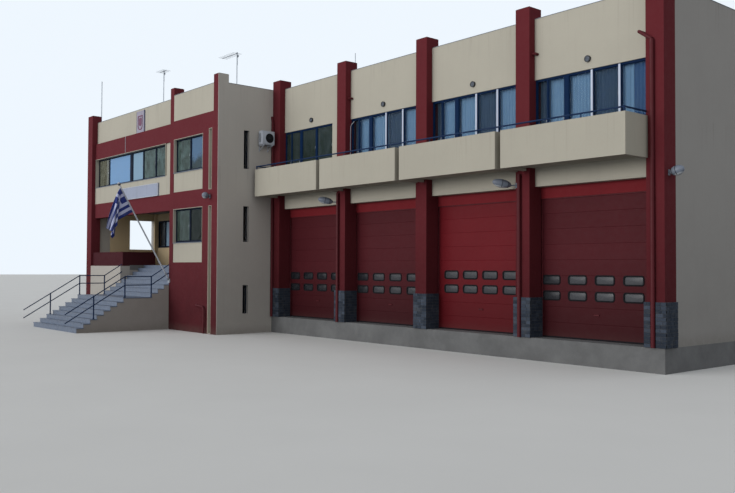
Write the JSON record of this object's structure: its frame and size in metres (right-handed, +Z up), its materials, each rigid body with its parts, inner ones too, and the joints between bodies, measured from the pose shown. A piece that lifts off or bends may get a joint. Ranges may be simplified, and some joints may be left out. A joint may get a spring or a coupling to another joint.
{
  "type": "fire station building",
  "caption": "Two-storey vehicle garage with sectional doors and a long balcony, beside a projecting three-storey office wing with an outside stair and loggia.",
  "frame": {"origin": "middle of the building's length and depth, at the lowest ground level", "axes": "+X along the street front to its right end, +Y into the building, +Z up"},
  "size_m": [33.4447, 19.5616, 14.07],
  "materials": {
    "concrete": "cast concrete, weathered",
    "red_plaster": "dull dark brick-red masonry paint",
    "stone_cladding": "split-faced grey-blue stone in low courses",
    "door_red": "satin red paint on steel door leaves",
    "cream_plaster": "cream masonry paint, faintly stained",
    "blue_frames": "satin blue paint",
    "glass": "clear window glass",
    "white_metal": "white enamel, slightly dirty",
    "tan_plaster": "tan masonry paint",
    "marble": "honed pale marble",
    "rail_steel": "dark blue-grey paint on steel tube",
    "mast_steel": "galvanised grey steel",
    "flag_cloth": "light woven cloth with blue and white stripes",
    "door_wood": "dark varnished wood"
  },
  "bodies": {
    "root": {"garage_plinth": "concrete", "column_1": "red_plaster", "column_2": "red_plaster", "column_3": "red_plaster", "column_4": "red_plaster", "column_5": "red_plaster", "stone_bases": "stone_cladding", "door_headers": "door_red", "front_beams": "cream_plaster", "vehicle_door_1": "door_red", "vehicle_door_2": "door_red", "vehicle_door_3": "door_red", "vehicle_door_4": "door_red", "door_lights": "glass", "upper_floor": "concrete", "garage_roof": "concrete", "garage_parapet": "cream_plaster", "sill_walls": "cream_plaster", "upper_window_frames": "blue_frames", "upper_window_glass": "glass", "garage_right_wall": "cream_plaster", "garage_back_wall": "cream_plaster", "balcony_slab": "cream_plaster", "balcony_wall": "cream_plaster", "balcony_rail": "blue_frames", "downpipes": "red_plaster", "wall_vents": "white_metal", "floodlights": "white_metal", "office_plinth": "concrete", "office_first_floor": "concrete", "office_upper_floor": "concrete", "office_roof": "concrete", "office_pilasters": "red_plaster", "office_parapet": "cream_plaster", "office_red_walls": "red_plaster", "office_cream_panels": "cream_plaster", "office_left_wall": "cream_plaster", "office_right_wall": "cream_plaster", "office_back_wall": "cream_plaster", "office_ground_wall": "cream_plaster", "loggia_wall": "red_plaster", "loggia_back_wall": "tan_plaster", "loggia_side_wall": "tan_plaster", "loggia_post": "tan_plaster", "office_window_frames": "blue_frames", "office_window_glass": "glass", "entrance_door": "door_wood", "back_window_frames": "blue_frames", "back_window_glass": "glass", "lower_flight": "tan_plaster", "upper_flight": "tan_plaster", "stair_treads": "marble", "stair_railings": "rail_steel", "sign_board": "white_metal", "crest_panel": "cream_plaster", "air_conditioner": "white_metal", "roof_masts": "mast_steel", "flagpole": "white_metal", "flag": "flag_cloth"}
  },
  "joints": []
}
